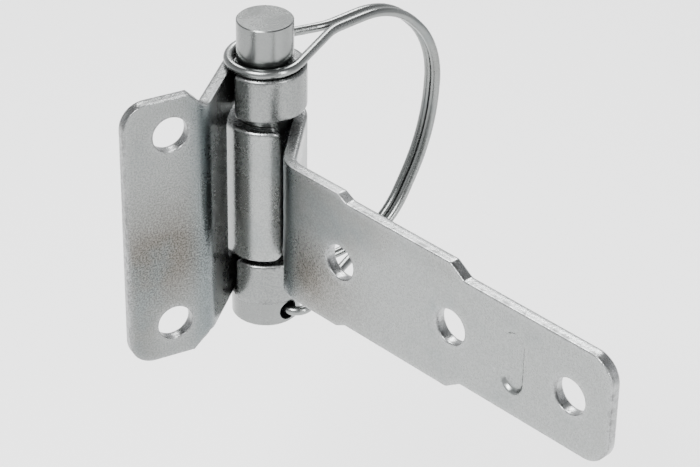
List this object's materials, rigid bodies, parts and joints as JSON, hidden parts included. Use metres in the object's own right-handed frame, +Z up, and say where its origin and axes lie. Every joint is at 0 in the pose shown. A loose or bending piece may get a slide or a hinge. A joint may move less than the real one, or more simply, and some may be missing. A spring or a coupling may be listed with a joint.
{
  "type": "strap hinge",
  "caption": "Strap hinge for a gate or drop side: a screwed leaf, a long stepped strap with an eye, a lift-out headed pin and a snap-over wire pin keeper.",
  "frame": {"origin": "middle of the leaf's two screw holes, on the leaf's mounting face", "axes": "+Z up along the hinge pin, -Y out of the leaf's mounting face, -X from the pin towards the leaf's free edge"},
  "size_m": [0.0996, 0.1395, 0.0832],
  "materials": {
    "zinc_plate": "bright zinc plated sheet, semi-gloss, fine grain",
    "zinc_pin": "bright zinc plated, turned",
    "zinc_wire": "bright zinc plated spring wire"
  },
  "bodies": {
    "leaf": {"mounting_leaf": "zinc_plate"},
    "strap": {"strap": "zinc_plate"},
    "pin": {"hinge_pin": "zinc_pin"},
    "keeper": {"pin_keeper": "zinc_wire"}
  },
  "joints": [
    {"name": "strap_swing", "type": "hinge", "parent": "leaf", "child": "strap", "pos_m": [0.031, 0.013, 0], "axis": [0, 0, 1], "range_deg": [-38, 92]},
    {"name": "pin_withdraw", "type": "slide", "parent": "leaf", "child": "pin", "axis": [0, 0, -1], "range_m": [0, 0.078], "deforming": ["pin_keeper"]},
    {"name": "keeper_swing", "type": "hinge", "parent": "pin", "child": "keeper", "pos_m": [0.031, 0.013, -0.0357], "axis": [-0.2504, 0.9681, 0], "range_deg": [0, 175], "deforming": ["pin_keeper"]}
  ]
}
